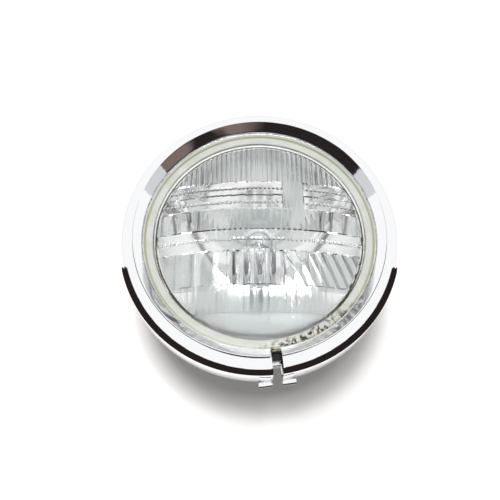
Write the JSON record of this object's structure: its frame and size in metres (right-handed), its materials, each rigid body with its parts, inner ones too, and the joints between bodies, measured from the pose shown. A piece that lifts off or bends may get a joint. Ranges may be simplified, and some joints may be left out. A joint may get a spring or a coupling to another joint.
{
  "type": "motorcycle headlight",
  "caption": "Round motorcycle headlight: fluted glass lens with a yellowed seal, aluminised reflector and bulb, chromed split trim ring clamped on a deep bowl shell with side bosses.",
  "frame": {"origin": "on the optical axis in the plane of the shell's flat back, at the mouth of the cable inlet, which is also the bottom of the part lying lens up", "axes": "+Z is the optical axis towards the lens, -Y is the bottom of the lens pattern and the side of the ring's split, +X is towards the right-hand boss seen from the front with the split at the bottom"},
  "size_m": [0.1714, 0.1753, 0.1132],
  "materials": {
    "ring_chrome": "polished",
    "lens_glass": "clear, fluted inside",
    "seal_plastic": "translucent, yellowed",
    "reflector_bright": "aluminised mirror",
    "carrier_black": "satin black",
    "spring_steel": "satin",
    "shell_chrome": "polished",
    "boss_steel": "turned",
    "rubber_black": "matt",
    "bulb_clear": "clear",
    "bulb_metal": "plated",
    "insulator_plastic": "matt",
    "terminal_brass": "plated",
    "filament_wire": "drawn"
  },
  "bodies": {
    "root": {"trim_ring": "ring_chrome", "lens": "lens_glass", "lens_seal": "seal_plastic", "reflector": "reflector_bright", "carrier_ring": "carrier_black", "unit_clips": "spring_steel", "clip_rivets": "spring_steel", "headlamp_shell": "shell_chrome", "side_boss_left": "boss_steel", "side_boss_right": "boss_steel", "cable_grommet": "rubber_black", "bulb_collar": "bulb_metal", "collar_rivets": "spring_steel", "bulb_spring": "spring_steel", "bulb_glass": "bulb_clear", "bulb_flange": "bulb_metal", "bulb_cap": "bulb_metal", "bulb_insulator": "insulator_plastic", "bulb_terminals": "terminal_brass", "main_filament": "filament_wire", "dip_filament": "filament_wire", "dip_shield": "bulb_metal", "filament_wires": "filament_wire", "dust_boot": "rubber_black"}
  },
  "joints": []
}
